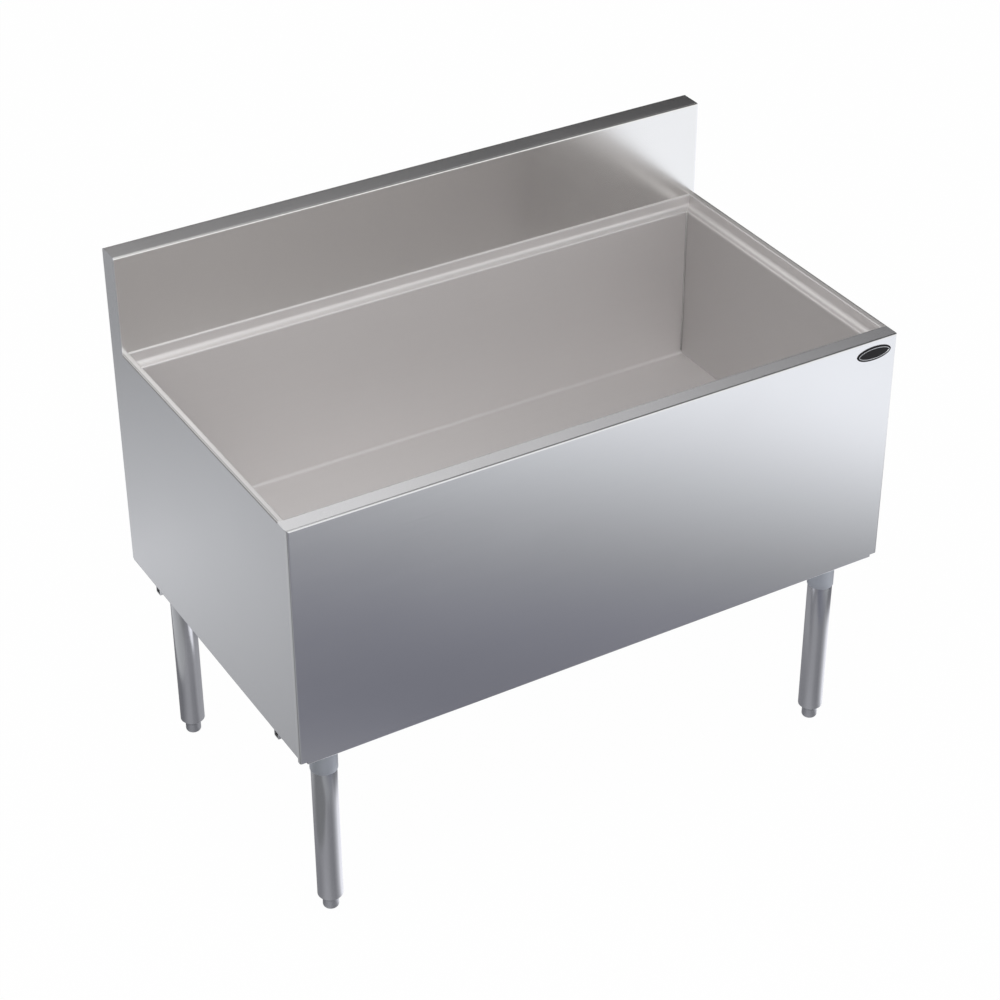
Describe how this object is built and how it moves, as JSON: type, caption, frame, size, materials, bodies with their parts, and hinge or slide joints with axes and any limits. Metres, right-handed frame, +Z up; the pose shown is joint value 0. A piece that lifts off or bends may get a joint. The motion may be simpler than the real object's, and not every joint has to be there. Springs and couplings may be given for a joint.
{
  "type": "underbar ice bin",
  "caption": "Free-standing stainless underbar ice bin with insulated well, cover ledge, backsplash, drain and tubular legs on bullet feet.",
  "frame": {"origin": "on the floor, in the middle of the bounding box seen from above", "axes": "+X along the front to the right, +Y from the front to the wall, +Z up"},
  "size_m": [1.0668, 0.605, 0.9404],
  "materials": {
    "front_steel": "brushed",
    "side_steel": "brushed",
    "splash_steel": "brushed",
    "well_steel": "brushed",
    "hidden_steel": "mill",
    "leg_steel": "polished",
    "socket_metal": "satin",
    "foot_metal": "satin",
    "fastener_steel": "satin",
    "drain_metal": "nickel plated",
    "strainer_steel": "polished",
    "foam": "rigid foam",
    "nameplate_black": "gloss"
  },
  "bodies": {
    "bin": {"front_panel": "front_steel", "side_panel_right": "side_steel", "side_panel_left": "side_steel", "back_panel": "hidden_steel", "backsplash": "splash_steel", "bottom_pan": "hidden_steel", "liner_wrap": "well_steel", "liner_end_right": "well_steel", "liner_end_left": "well_steel", "foam_insulation": "foam", "drain_body": "drain_metal", "drain_locknut": "drain_metal", "front_rail": "hidden_steel", "rear_rail": "hidden_steel", "leg_plate_front_left": "hidden_steel", "leg_plate_front_right": "hidden_steel", "leg_plate_rear_left": "hidden_steel", "leg_plate_rear_right": "hidden_steel", "leg_sockets_front": "socket_metal", "leg_sockets_rear": "socket_metal", "leg_tube_front_left": "leg_steel", "leg_tube_front_right": "leg_steel", "leg_tube_rear_left": "leg_steel", "leg_tube_rear_right": "leg_steel"},
    "foot_front_left": {"bullet_foot_front_left": "foot_metal"},
    "foot_front_right": {"bullet_foot_front_right": "foot_metal"},
    "foot_rear_left": {"bullet_foot_rear_left": "foot_metal"},
    "foot_rear_right": {"bullet_foot_rear_right": "foot_metal"},
    "strainer": {"drain_strainer": "strainer_steel"}
  },
  "joints": [
    {"name": "foot_front_left_screw", "type": "slide", "parent": "bin", "child": "foot_front_left", "axis": [0, 0, -1], "range_m": [0, 0.025]},
    {"name": "foot_front_right_screw", "type": "slide", "parent": "bin", "child": "foot_front_right", "axis": [0, 0, -1], "range_m": [0, 0.025]},
    {"name": "foot_rear_left_screw", "type": "slide", "parent": "bin", "child": "foot_rear_left", "axis": [0, 0, -1], "range_m": [0, 0.025]},
    {"name": "foot_rear_right_screw", "type": "slide", "parent": "bin", "child": "foot_rear_right", "axis": [0, 0, -1], "range_m": [0, 0.025]},
    {"name": "strainer_lift", "type": "slide", "parent": "bin", "child": "strainer", "axis": [0, 0, 1], "range_m": [0, 0.33]}
  ]
}
